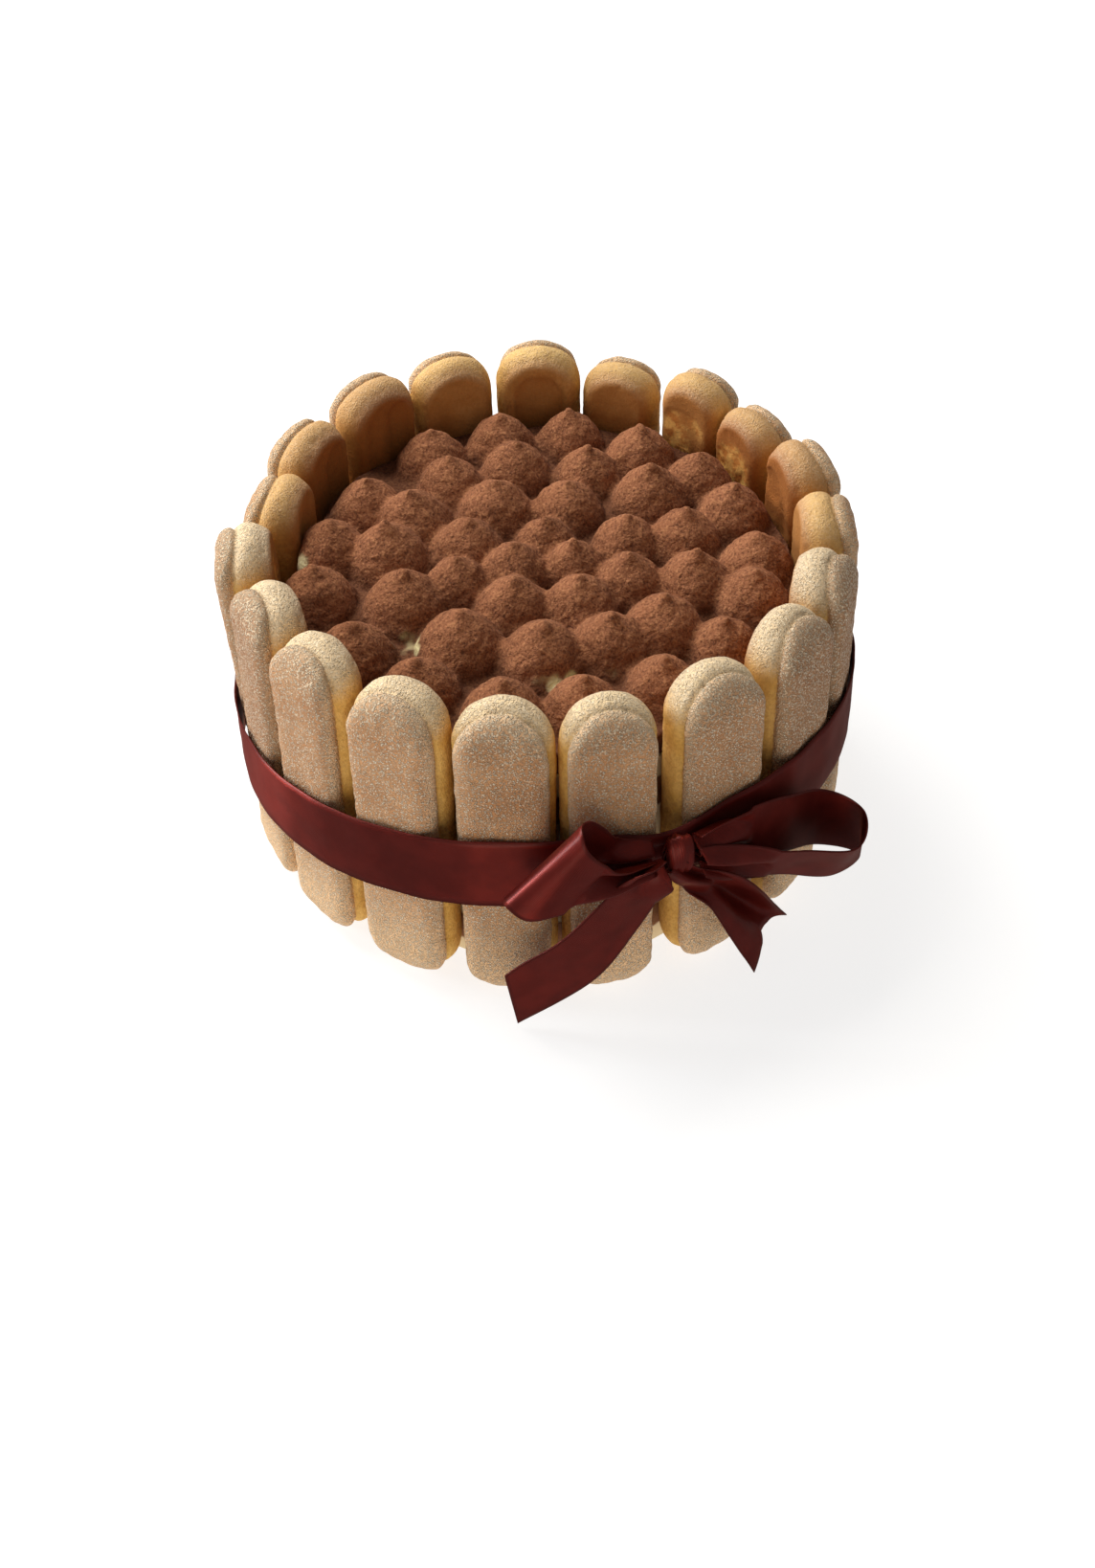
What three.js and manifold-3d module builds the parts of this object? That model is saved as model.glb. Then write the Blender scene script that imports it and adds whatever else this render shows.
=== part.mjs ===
// A round tiramisu cake: a solid filling inside a fence of upright sponge fingers, piped cream
// swirls on top, and a satin ribbon tied round it in a bow. Millimetres, +Z up. The origin is
// the middle of the cake's foot, and the bow faces -Y.

import * as THREE from 'three';
import { mergeVertices } from 'three/addons/utils/BufferGeometryUtils.js';
import Module from 'manifold-3d';

// Sizes that drive the rest

const FINGER_LENGTH = 108.4;
const FINGER_DEPTH = 17.4;
const FINGER_LEAN = 1.9; // degrees, the tips lean in
const FENCE_RADIUS = 84.1; // to the middle of a finger, half way up
const CLEARANCE = 0.3; // left between pieces that touch

const BODY_TOP = 76;
const CREAM_TOP = 84;
const SWIRL_HEIGHT = 1.42; // for each millimetre of a swirl's radius

const RIBBON_WIDTH = 25;
const RIBBON_THICKNESS = 1;
const RIBBON_LOW = 34.2; // height of the band's middle behind the cake
const RIBBON_RISE = 24.7; // how much higher it runs at the knot
const RIBBON_RISE_POWER = 1.54;

const KNOT_AZIMUTH = 290.5;
const KNOT_HEIGHT = 63.5;
const KNOT_RADIUS = 99.3; // from the cake's axis to the knot's middle
const KNOT_SIZE = { along: 7.6, out: 7.6, up: 14.5 };

// Each finger: azimuth in degrees, width, how much longer than the rest, how far out of line,
// and for one that leans otherwise, how many degrees more it leans in

const FINGERS = [
  [185.5, 25.4, 0, 0, -3.1],
  [205, 26.4, 0, 0],
  [223.1, 26, 0, 0],
  [242.9, 27.4, 0, 0],
  [262.6, 27.2, 0, 0],
  [281.4, 26.2, 0, 0],
  [302.4, 27.4, 0, 0],
  [323.4, 27.2, 0, 0],
  [341.9, 26, 0, 0],
  [0.3, 25.6, 0, 0],
  [17.6, 24.6, 1.3, 0],
  [35.9, 24, -1.6, -0.4],
  [52.3, 23.4, 0, 0.8],
  [70.8, 25.4, -2.4, 0],
  [89.7, 27.4, 2, 0],
  [109.7, 27.2, 1, 0],
  [129, 27, 1.8, 0],
  [148.8, 26.6, 0, 0],
  [167.4, 25.2, -2, -3.4],
];

// A finger from its flat base to its sugared face: depth, and how far the outline is drawn in

const FINGER_LEVELS = [
  [0, 4.2],
  [0.6, 3.2],
  [2.4, 2],
  [5.4, 0.3],
  [9.4, 0],
  [11.4, 1.1],
  [11.9, 2.2],
  [13.4, 1.1],
  [16, 2],
  [17.1, 4.8],
];
const TIP_THINNER = 0.25; // share of its thickness that a finger loses at its round tips
const FINGER_SIDES = 18;
const BASE_HOLLOW = 0.5; // the flat base is a little concave
const FACE_SWELL = 0.3; // the sugared face is a little domed
const CONTACT_LEVELS = 2; // the ribbon lies on the last levels of the list

// Each ring of piped swirls: azimuth in degrees, distance from the axis, radius of the swirl

const SWIRL_RINGS = [
  [
    [359, 63, 10.5], [21, 62, 10.5], [39, 63, 10], [59, 61.5, 10.5], [81, 63.5, 10], [101, 61.5, 10.5],
    [122, 63, 10.5], [151, 59.5, 10.5], [172, 62.5, 10.5], [191, 66, 10.5], [215, 64, 10.5],
    [237, 62, 10.5], [260, 63, 11], [280, 61.5, 10.5], [302, 61.5, 10], [324, 62.5, 9.5],
    [344, 62.5, 10.5],
  ],
  [
    [14, 44, 10.5], [43, 46, 11], [71, 46, 10], [99, 47, 10.5], [125, 47.5, 10.5], [151, 43.5, 11.5],
    [174, 45, 11.5], [203, 42.5, 11.5], [236, 41, 11.5], [270, 39.5, 11.5], [298, 40.5, 11],
    [320, 44.5, 11], [348, 45, 10.5],
  ],
  [
    [20, 27, 10], [73, 27.5, 10.5], [117, 29.5, 11], [158, 23.5, 10.5], [198, 25.5, 9.5],
    [246, 20, 10.5], [300, 21.5, 10.5], [342, 26.5, 10],
  ],
  [[82, 11, 9], [197, 8, 10], [355, 9.5, 9]],
];

// Half a swirl in section: share of its radius, share of its height

const SWIRL_PROFILE = [
  [0, -0.1],
  [1.16, -0.06],
  [1, 0.25],
  [0.78, 0.5],
  [0.46, 0.72],
  [0.2, 0.87],
  [0, 1],
];
const SWIRL_SIDES = 10;

// The bow's four strips, each by its upper and lower edge, from the knot outwards. A loop comes
// back to the knot. The points are the route of a soft ribbon, set by hand.

const LOOP_RIGHT = {
  upper: [[39.6, -90, 69], [49, -85, 70], [63, -76, 66], [79, -62, 54], [90, -66, 49], [87, -77, 46],
    [71, -82, 51], [55, -87, 58], [41.5, -94, 65]],
  lower: [[40, -89.6, 58], [50, -84, 55], [64, -75, 43], [79, -61, 30], [92, -61, 25], [82.5, -68, 24],
    [68, -74, 32], [55, -82, 42], [41.5, -93.5, 56]],
};
const LOOP_LEFT = {
  upper: [[30, -94, 69.5], [20, -96.5, 75], [12.5, -98.5, 81.5], [8, -101, 82], [9.5, -105, 80.5],
    [15, -104.5, 75], [21, -99, 67], [30, -96.5, 66]],
  lower: [[30, -94, 60], [17, -97, 60], [0, -101, 58], [-11, -106, 59], [-7.5, -110.5, 57],
    [5.5, -109, 60.5], [15.5, -102, 57.5], [30, -96.5, 58.5]],
};
const TAIL_LEFT = {
  upper: [[30, -99.5, 70.5], [20.5, -105, 69.5], [12, -105.5, 55.5], [2, -105.5, 42], [-12.5, -104.5, 27.5]],
  lower: [[31.5, -99.8, 62.5], [30.5, -99, 56], [24.5, -99.5, 41], [11.5, -101, 19], [-9.5, -102.5, 2]],
};
const TAIL_RIGHT = {
  upper: [[37.5, -92, 53.5], [47, -87.5, 48.5], [59, -82, 35], [75.5, -75, 8]],
  lower: [[34, -95.5, 54.5], [40.5, -92.5, 45], [49, -88, 29], [60, -86.5, 2.5]],
};
const LOOP_STEPS = 26;
const TAIL_STEPS = 12;

// General helpers

const radians = (degrees) => (degrees * Math.PI) / 180;

/** Merges shared corners, so the shape is one closed surface, and turns its faces outwards. */
function closed(geometry) {
  geometry.deleteAttribute('normal');
  geometry.deleteAttribute('uv');
  const merged = mergeVertices(geometry, 1e-4);
  const index = merged.index.array;
  const corner = (i) => new THREE.Vector3().fromBufferAttribute(merged.attributes.position, index[i]);
  const kept = [];
  let volume = 0;
  for (let i = 0; i < index.length; i += 3) {
    const [a, b, c] = [corner(i), corner(i + 1), corner(i + 2)];
    if (index[i] !== index[i + 1] && index[i + 1] !== index[i + 2] && index[i + 2] !== index[i]) {
      kept.push(index[i], index[i + 1], index[i + 2]);
      volume += a.dot(b.cross(c));
    }
  }
  if (volume < 0) {
    kept.reverse();
  }
  merged.setIndex(kept);
  return merged;
}

/** A solid through rings of points, all with the same count, closed by a fan at each end. */
function loft(rings, endShift = [0, 0]) {
  const sides = rings[0].length;
  const steps = rings.length - 1;
  const geometry = new THREE.CylinderGeometry(1, 1, 1, sides, steps);
  const position = geometry.attributes.position;
  const point = new THREE.Vector3();
  for (let i = 0; i < position.count; i += 1) {
    point.fromBufferAttribute(position, i);
    const level = Math.round((0.5 - point.y) * steps);
    const ring = rings[level];
    if (Math.hypot(point.x, point.z) > 0.5) {
      const turn = Math.atan2(point.x, point.z) / (2 * Math.PI);
      point.copy(ring[Math.round(turn * sides + sides) % sides]);
    } else {
      point.set(0, 0, 0);
      ring.forEach((corner) => point.addScaledVector(corner, 1 / sides));
      point.y += level === 0 ? endShift[0] : endShift[1];
    }
    position.setXYZ(i, point.x, point.y, point.z);
  }
  return closed(geometry);
}

function piece(name, geometry, colour, roughness) {
  const material = new THREE.MeshStandardMaterial({ color: colour, roughness, metalness: 0 });
  const mesh = new THREE.Mesh(geometry, material);
  mesh.name = name;
  return mesh;
}

// The sponge fingers

/** One round-ended outline of a finger in its own frame: x across, y outwards, z along it. */
function fingerOutline(width, length, depth, inset) {
  const radius = width / 2 - inset;
  const straight = length / 2 - width / 2;
  const ring = [];
  for (let side = 0; side < FINGER_SIDES; side += 1) {
    const angle = ((side + 0.5) / FINGER_SIDES) * 2 * Math.PI;
    const end = Math.sign(Math.cos(angle)) * straight;
    const beyond = (radius * Math.cos(angle)) / (width / 2);
    const thickness = 1 - TIP_THINNER * beyond ** 2;
    ring.push(new THREE.Vector3(
      radius * Math.sin(angle),
      depth * thickness - FINGER_DEPTH / 2,
      end + radius * Math.cos(angle),
    ));
  }
  return ring;
}

function makeFinger([azimuth, width, longer, outOfLine, leanMore = 0], index) {
  const length = FINGER_LENGTH + longer;
  const rings = FINGER_LEVELS.map(([depth, inset]) => fingerOutline(width, length, depth, inset));
  const geometry = loft(rings.reverse(), [FACE_SWELL, BASE_HOLLOW]);
  geometry.rotateX(radians(FINGER_LEAN + leanMore));
  geometry.computeBoundingBox();
  geometry.translate(0, FENCE_RADIUS + outOfLine, -geometry.boundingBox.min.z);
  const number = String(index + 1).padStart(2, '0');
  const finger = piece(`finger_${number}`, geometry, '#a8875f', 0.85);
  finger.rotation.z = radians(azimuth - 90);
  return finger;
}

/** How far a finger's flat base stands from the cake's axis at a height. */
function baseDistance([, , , outOfLine, leanMore = 0], height) {
  const lean = radians(FINGER_LEAN + leanMore);
  const middle = FINGER_LENGTH / 2;
  return FENCE_RADIUS + outOfLine - FINGER_DEPTH / 2 / Math.cos(lean) - (height - middle) * Math.tan(lean);
}

// The filling and the piped cream

/** The outline inside the fence at a height: each finger's base gives one straight side. */
function insideOutline(height, gap) {
  return FINGERS.map((finger, index) => {
    const next = FINGERS[(index + 1) % FINGERS.length];
    const [a, b] = [radians(finger[0]), radians(next[0])];
    const [near, far] = [baseDistance(finger, height) - gap, baseDistance(next, height) - gap];
    const spread = Math.sin(b - a);
    return new THREE.Vector3(
      (near * Math.sin(b) - far * Math.sin(a)) / spread,
      (far * Math.cos(a) - near * Math.cos(b)) / spread,
      height,
    );
  });
}

function insideBlock(bottom, top, gap) {
  return loft([insideOutline(top, gap), insideOutline(bottom, gap)]);
}

function swirlShape(azimuth, distance, radius) {
  const height = radius * SWIRL_HEIGHT;
  const profile = SWIRL_PROFILE.map(([out, up]) => new THREE.Vector2(out * radius, up * height));
  const geometry = new THREE.LatheGeometry(profile.reverse(), SWIRL_SIDES);
  geometry.rotateX(Math.PI / 2);
  geometry.rotateZ(radians(azimuth * 2));
  const angle = radians(azimuth);
  geometry.translate(distance * Math.cos(angle), distance * Math.sin(angle), CREAM_TOP);
  return closed(geometry);
}

const wasm = await Module();
wasm.setup();

function toSolid(geometry) {
  const vertProperties = Float32Array.from(geometry.attributes.position.array);
  const triVerts = Uint32Array.from(geometry.index.array);
  return new wasm.Manifold(new wasm.Mesh({ numProp: 3, vertProperties, triVerts }));
}

function fromSolid(solid) {
  const mesh = solid.getMesh();
  const geometry = new THREE.BufferGeometry();
  geometry.setAttribute('position', new THREE.BufferAttribute(mesh.vertProperties, 3));
  geometry.setIndex(new THREE.BufferAttribute(mesh.triVerts, 1));
  return geometry;
}

function makePipedCream() {
  const highest = CREAM_TOP + 30;
  let cream = toSolid(insideBlock(BODY_TOP + CLEARANCE, CREAM_TOP, CLEARANCE));
  SWIRL_RINGS.flat().forEach((swirl) => {
    cream = cream.add(toSolid(swirlShape(...swirl)));
  });
  const room = toSolid(insideBlock(BODY_TOP + CLEARANCE, highest, CLEARANCE));
  return piece('piped_cream', fromSolid(cream.intersect(room).simplify(0.02)), '#74492f', 0.95);
}

// The ribbon

/** Corners of the fingers that a taut ribbon touches, seen from above, at mid height. */
function contactCorners() {
  const corners = [];
  FINGERS.forEach(([azimuth, width, , outOfLine]) => {
    FINGER_LEVELS.slice(-CONTACT_LEVELS).forEach(([depth, inset]) => {
      const across = width / 2 - inset;
      const out = FENCE_RADIUS + outOfLine - FINGER_DEPTH / 2 + depth;
      [-across, across].forEach((x) => {
        const turn = radians(azimuth) + Math.atan2(x, out);
        corners.push({ turn, radius: Math.hypot(x, out) });
      });
    });
  });
  return corners;
}

/** Radius of a taut ribbon at an angle: the furthest chord between two of the corners. */
function tautRadius(angle, corners) {
  const span = radians(45);
  const offsets = corners.map(({ turn, radius }) => {
    const away = Math.atan2(Math.sin(turn - angle), Math.cos(turn - angle));
    return { away, radius };
  });
  const before = offsets.filter(({ away }) => away <= 0 && away > -span);
  const after = offsets.filter(({ away }) => away > 0 && away < span);
  let furthest = 0;
  before.forEach((a) => after.forEach((b) => {
    const chord = (a.radius * b.radius * Math.sin(b.away - a.away))
      / (a.radius * Math.sin(-a.away) + b.radius * Math.sin(b.away));
    furthest = Math.max(furthest, chord);
  }));
  return furthest;
}

function bandHeight(angle) {
  const nearness = (1 + Math.cos(angle - radians(KNOT_AZIMUTH))) / 2;
  return RIBBON_LOW + RIBBON_RISE * nearness ** RIBBON_RISE_POWER;
}

/** The band is gathered where it runs under the knot. */
function bandHalfWidth(angle) {
  const away = Math.acos(Math.cos(angle - radians(KNOT_AZIMUTH)));
  const gather = Math.exp(-((away / radians(8)) ** 2));
  return (RIBBON_WIDTH / 2) * (1 - 0.4 * gather);
}

function makeBand() {
  const corners = contactCorners();
  const clear = 2.6 * CLEARANCE;
  const section = [[1, -1], [2, -1], [2, 1], [1, 1], [1, -1]];
  const profile = section.map(([layer, up]) => new THREE.Vector2(layer, up));
  const geometry = new THREE.LatheGeometry(profile, FINGERS.length * 5);
  geometry.rotateX(Math.PI / 2);
  const position = geometry.attributes.position;
  const point = new THREE.Vector3();
  for (let i = 0; i < position.count; i += 1) {
    point.fromBufferAttribute(position, i);
    const angle = Math.atan2(point.y, point.x);
    const layer = Math.round(Math.hypot(point.x, point.y)) - 1;
    const height = bandHeight(angle) + point.z * bandHalfWidth(angle);
    const leanIn = (height - FINGER_LENGTH / 2) * Math.tan(radians(FINGER_LEAN));
    const radius = tautRadius(angle, corners) + clear - leanIn + layer * RIBBON_THICKNESS;
    position.setXYZ(i, radius * Math.cos(angle), radius * Math.sin(angle), height);
  }
  return piece('ribbon_band', closed(geometry), '#57251d', 0.45);
}

/** A strip of ribbon between two edge curves. */
function makeStrip(name, { upper, lower }, steps) {
  const edges = [upper, lower].map((edge) => {
    const points = edge.map(([x, y, z]) => new THREE.Vector3(x, y, z));
    return new THREE.CatmullRomCurve3(points, false, 'catmullrom', 0.5);
  });
  const rings = [];
  for (let step = 0; step <= steps; step += 1) {
    const t = step / steps;
    const [a, b] = edges.map((edge) => edge.getPoint(t));
    const along = edges[0].getTangent(t).add(edges[1].getTangent(t));
    const normal = along.cross(b.clone().sub(a)).normalize().multiplyScalar(RIBBON_THICKNESS / 2);
    rings.push([
      a.clone().add(normal),
      b.clone().add(normal),
      b.clone().sub(normal),
      a.clone().sub(normal),
    ]);
  }
  return piece(name, loft(rings), '#5a261e', 0.45);
}

function makeKnot() {
  const { along, out, up } = KNOT_SIZE;
  const profile = [[0, -0.5], [0.34, -0.5], [0.48, -0.25], [0.5, 0.1], [0.4, 0.5], [0, 0.5]];
  const points = profile.map(([radius, height]) => new THREE.Vector2(radius, height));
  const geometry = new THREE.LatheGeometry(points, 12);
  geometry.rotateZ(Math.PI / 2);
  geometry.scale(along, out, up);
  const knot = piece('bow_knot', closed(geometry), '#4c1f19', 0.5);
  const angle = radians(KNOT_AZIMUTH);
  knot.position.set(KNOT_RADIUS * Math.cos(angle), KNOT_RADIUS * Math.sin(angle), KNOT_HEIGHT);
  knot.rotation.z = angle - Math.PI / 2;
  return knot;
}

const cake = new THREE.Group();
cake.add(...FINGERS.map(makeFinger));
cake.add(piece('cake_body', insideBlock(0, BODY_TOP, CLEARANCE), '#d8bd83', 0.9));
cake.add(makePipedCream());
cake.add(makeBand());
cake.add(makeKnot());
cake.add(makeStrip('bow_loop_right', LOOP_RIGHT, LOOP_STEPS));
cake.add(makeStrip('bow_loop_left', LOOP_LEFT, LOOP_STEPS));
cake.add(makeStrip('bow_tail_right', TAIL_RIGHT, TAIL_STEPS));
cake.add(makeStrip('bow_tail_left', TAIL_LEFT, TAIL_STEPS));

export default cake;
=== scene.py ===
# %% [markdown]
# # A tiramisu cake with a satin bow
#
# The cake is a fence of sponge fingers round a soft filling, with piped cream under cocoa on
# top and a dark red ribbon tied round it. The packed solids give every place and size, so this
# lesson only adds what a solid can't show: crumb, sugar, powder, cloth and light.

# %% Load the frame
import math
import random

import bmesh
import bpy
from mathutils import Matrix, Vector, geometry, noise


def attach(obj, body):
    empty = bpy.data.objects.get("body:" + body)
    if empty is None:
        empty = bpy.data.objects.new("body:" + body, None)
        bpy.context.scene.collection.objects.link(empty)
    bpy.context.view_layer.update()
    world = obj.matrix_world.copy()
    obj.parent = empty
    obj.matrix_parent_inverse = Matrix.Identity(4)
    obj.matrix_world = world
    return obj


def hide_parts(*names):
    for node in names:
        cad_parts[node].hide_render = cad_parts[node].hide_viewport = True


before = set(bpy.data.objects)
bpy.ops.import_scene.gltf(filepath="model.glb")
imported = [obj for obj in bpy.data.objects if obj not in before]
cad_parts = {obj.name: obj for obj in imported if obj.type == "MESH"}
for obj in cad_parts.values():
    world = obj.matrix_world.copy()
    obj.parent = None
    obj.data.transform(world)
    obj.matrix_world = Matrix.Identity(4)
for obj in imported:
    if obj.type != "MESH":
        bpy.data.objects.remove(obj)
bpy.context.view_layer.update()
MM = 0.001

# %% [markdown]
# The camera comes first, because every later look is judged through it. It stands in front of
# the cake and looks down at nearly 45 degrees, as a person at a table does. A camera of a real
# focal length, at its real distance, gives the same perspective as a photograph, which a far
# camera with a long lens would not.

# %% Camera
CAMERA_PLACE = Vector((0, -391.6, 406.3)) * MM
CAMERA_DOWN = 46.5
CAMERA_ASIDE = -0.09
CAMERA_ROLL = -1.15
CAMERA_LENS = 39.3

camera = bpy.data.objects.new("camera", bpy.data.cameras.new("camera"))
bpy.context.collection.objects.link(camera)
camera.data.lens = CAMERA_LENS
camera.data.sensor_width = 36
turn = Matrix.Rotation(math.radians(CAMERA_ASIDE), 4, "Z")
tilt = Matrix.Rotation(math.radians(90 - CAMERA_DOWN), 4, "X")
roll = Matrix.Rotation(math.radians(CAMERA_ROLL), 4, "Z")
camera.matrix_world = Matrix.Translation(CAMERA_PLACE) @ turn @ tilt @ roll
bpy.context.scene.camera = camera
print("camera is", round(CAMERA_PLACE.length, 3), "m from the cake's foot")

# %% [markdown]
# A colour picked from a picture is an sRGB colour, and a shader works with linear light. One
# small function turns the one into the other, so the colours below can be written the way a
# paint program shows them.

# %% Colours
def tint(red, green, blue):
    """A colour of 0 to 255, as a paint program gives it, in linear light."""
    shares = [value / 255 for value in (red, green, blue)]
    linear = [s / 12.92 if s <= 0.04045 else ((s + 0.055) / 1.055) ** 2.4 for s in shares]
    return (*linear, 1)


print("mid grey is", round(tint(128, 128, 128)[0], 3), "in linear light")

# %% [markdown]
# A material is a net of nodes, and a net is slow to write one link at a time. The class below
# wraps what comes out of a node, so that maths on it is written as ordinary maths: adding two
# signals puts an Add node between them.

# %% Maths with nodes
class Signal:
    """What comes out of a node of a finish."""

    def __init__(self, finish, socket):
        self.finish = finish
        self.socket = socket

    def maths(self, operation, first, second):
        inputs = {0: first, 1: second}
        return self.finish.node("ShaderNodeMath", {"operation": operation}, inputs)

    def __add__(self, other):
        return self.maths("ADD", self, other)

    def __sub__(self, other):
        return self.maths("SUBTRACT", self, other)

    def __rsub__(self, other):
        return self.maths("SUBTRACT", other, self)

    def __mul__(self, other):
        return self.maths("MULTIPLY", self, other)

    __radd__ = __add__


# %% [markdown]
# The second class is the material itself. Its one method for nodes takes the kind of node, its
# settings, and the value or link of each socket. The other methods are the few nodes that every
# food needs: a noise and cells of a real size, a soft threshold, a mix of two colours, a mask
# that is stored on the mesh, and a bump whose height is a real length.

# %% A finish
class Finish:
    """A procedural material that is built from signals."""

    def __init__(self, name, **constants):
        self.material = bpy.data.materials.new(name)
        self.material.use_nodes = True
        self.tree = self.material.node_tree
        self.shader = self.tree.nodes["Principled BSDF"]
        self.shader.inputs["Metallic"].default_value = 0
        for socket, value in constants.items():
            self.shader.inputs[socket.replace("_", " ")].default_value = value
        self.place = self.node("ShaderNodeTexCoord", output="Object")

    def give(self, socket, value):
        """Sets a socket to a value, or links a signal to it."""
        if isinstance(value, Signal):
            self.tree.links.new(value.socket, socket)
        else:
            socket.default_value = value

    def node(self, kind, settings=None, inputs=None, output=0):
        """Adds a node, and gives each input a value or a signal."""
        made = self.tree.nodes.new(kind)
        for setting, value in (settings or {}).items():
            setattr(made, setting, value)
        for socket, value in (inputs or {}).items():
            self.give(made.inputs[socket], value)
        return Signal(self, made.outputs[output])

    def part(self, vector, axis):
        """One part of a vector: its X, Y or Z."""
        return self.node("ShaderNodeSeparateXYZ", None, {0: vector}, axis)

    def noise(self, size, detail=2.0, rough=0.5):
        """A noise whose blotches are about this many millimetres."""
        inputs = {
            "Vector": self.place,
            "Scale": 1 / (size * MM),
            "Detail": detail,
            "Roughness": rough,
        }
        return self.node("ShaderNodeTexNoise", None, inputs)

    def cells(self, size):
        """Distance from the middle of the nearest cell, in cells of about this many millimetres."""
        inputs = {"Vector": self.place, "Scale": 1 / (size * MM)}
        return self.node("ShaderNodeTexVoronoi", None, inputs)

    def step(self, signal, low, high):
        """0 below low, 1 above high, and soft between them."""
        inputs = {"Value": signal, "From Min": low, "From Max": high}
        return self.node("ShaderNodeMapRange", {"interpolation_type": "SMOOTHSTEP"}, inputs)

    def mix(self, share, first, second):
        """The first colour where share is 0, and the second where it is 1."""
        settings = {"data_type": "RGBA", "clamp_factor": True}
        return self.node("ShaderNodeMix", settings, {0: share, 6: first, 7: second}, output=2)

    def painted(self, name):
        """A value that was stored on the mesh."""
        return self.node("ShaderNodeAttribute", {"attribute_name": name}, None, "Fac")

    def raised(self, height, most):
        """A bump that is at most this many millimetres high."""
        inputs = {"Height": height, "Distance": most * MM, "Strength": 1.0}
        return self.node("ShaderNodeBump", None, inputs)

    def finish(self, **signals):
        """Connects the signals to the sockets of the shader."""
        for socket, signal in signals.items():
            self.give(self.shader.inputs[socket.replace("_", " ")], signal)


print("finishes are built from", len(vars(Finish)), "members")

# %% [markdown]
# ## The sponge fingers
#
# A sponge finger is a bar of stiff egg batter, piped on a tray and sugared. Baking gives it a
# flat base, a soft yellow side that swells, a sharp crease, and a paler crust of sugar over
# that. It could be a stretched cylinder, but then the crease and the flat faces are lost. Here
# one round-ended outline is pushed out level by level, which is how the solid was made too.

# %% Sizes of the fingers
FINGER_LENGTH = 108.4
FINGER_DEPTH = 17.4
FINGER_LEAN = 1.9
FENCE_RADIUS = 84.1

# azimuth in degrees, width, how much longer than the rest, how far out of line, and how many
# degrees more it leans in
FINGERS = [
    (185.5, 25.4, 0, 0, -3.1),
    (205, 26.4, 0, 0, 0),
    (223.1, 26, 0, 0, 0),
    (242.9, 27.4, 0, 0, 0),
    (262.6, 27.2, 0, 0, 0),
    (281.4, 26.2, 0, 0, 0),
    (302.4, 27.4, 0, 0, 0),
    (323.4, 27.2, 0, 0, 0),
    (341.9, 26, 0, 0, 0),
    (0.3, 25.6, 0, 0, 0),
    (17.6, 24.6, 1.3, 0, 0),
    (35.9, 24, -1.6, -0.4, 0),
    (52.3, 23.4, 0, 0.8, 0),
    (70.8, 25.4, -2.4, 0, 0),
    (89.7, 27.4, 2, 0, 0),
    (109.7, 27.2, 1, 0, 0),
    (129, 27, 1.8, 0, 0),
    (148.8, 26.6, 0, 0, 0),
    (167.4, 25.2, -2, -3.4, 0),
]
# from the flat base to the sugared face: depth, and how far the outline is drawn in
FINGER_LEVELS = [
    (0.4, 13.0), (0.4, 10.0), (0.3, 7.4), (0.1, 5.4), (0.05, 4.4), (0.6, 3.2), (1.4, 2.5), (2.4, 1.9),
    (3.8, 1.0), (5.4, 0.35), (7.4, 0.05), (9.2, 0.1), (10.6, 0.6), (11.4, 1.2), (11.8, 2.1),
    (12.3, 1.6), (13.2, 1.05), (14.6, 1.1), (15.8, 1.7), (16.7, 2.9), (17.2, 4.6), (17.35, 7.0),
    (17.4, 10.0), (17.4, 13.0),
]
TIP_THINNER = 0.25
FINGER_SIDES = 40
FINGER_CUTS = 40
LEAST_RADIUS = 0.3
# points nearer than this are one point
WELD = 0.02
print(len(FINGERS), "fingers,", len(FINGER_LEVELS), "levels each")

# %% [markdown]
# The outline starts as a circle. Its upper half moves up and its lower half down, and the two
# long edges between them are cut into short ones. Each later level is an extrusion of that
# ring: a point keeps its place along the finger and moves in towards the middle line. The last
# ring falls on the middle line itself, and merging its doubles closes the face.

# %% Loft a finger
def half_length(width, longer):
    """Half of the straight part between the round tips."""
    return (FINGER_LENGTH + longer - width) / 2


def thickness(z, straight, width):
    """The share of its full thickness that a finger has at a height: its tips are thinner."""
    beyond = max(0.0, abs(z) - straight) / (width / 2)
    return 1 - TIP_THINNER * beyond**2


def place_level(verts, depth, inset, straight, width):
    """Puts a ring of the finger at a depth, this far in from the finger's outline."""
    radius = max(LEAST_RADIUS, width / 2 - inset)
    for vert in verts:
        along = max(-straight, min(straight, vert.co.z))
        out = Vector((vert.co.x, 0, vert.co.z - along)).normalized()
        z = along + out.z * radius
        y = depth * thickness(z, straight, width) - FINGER_DEPTH / 2
        vert.co = Vector((out.x * radius, y, z))


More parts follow.
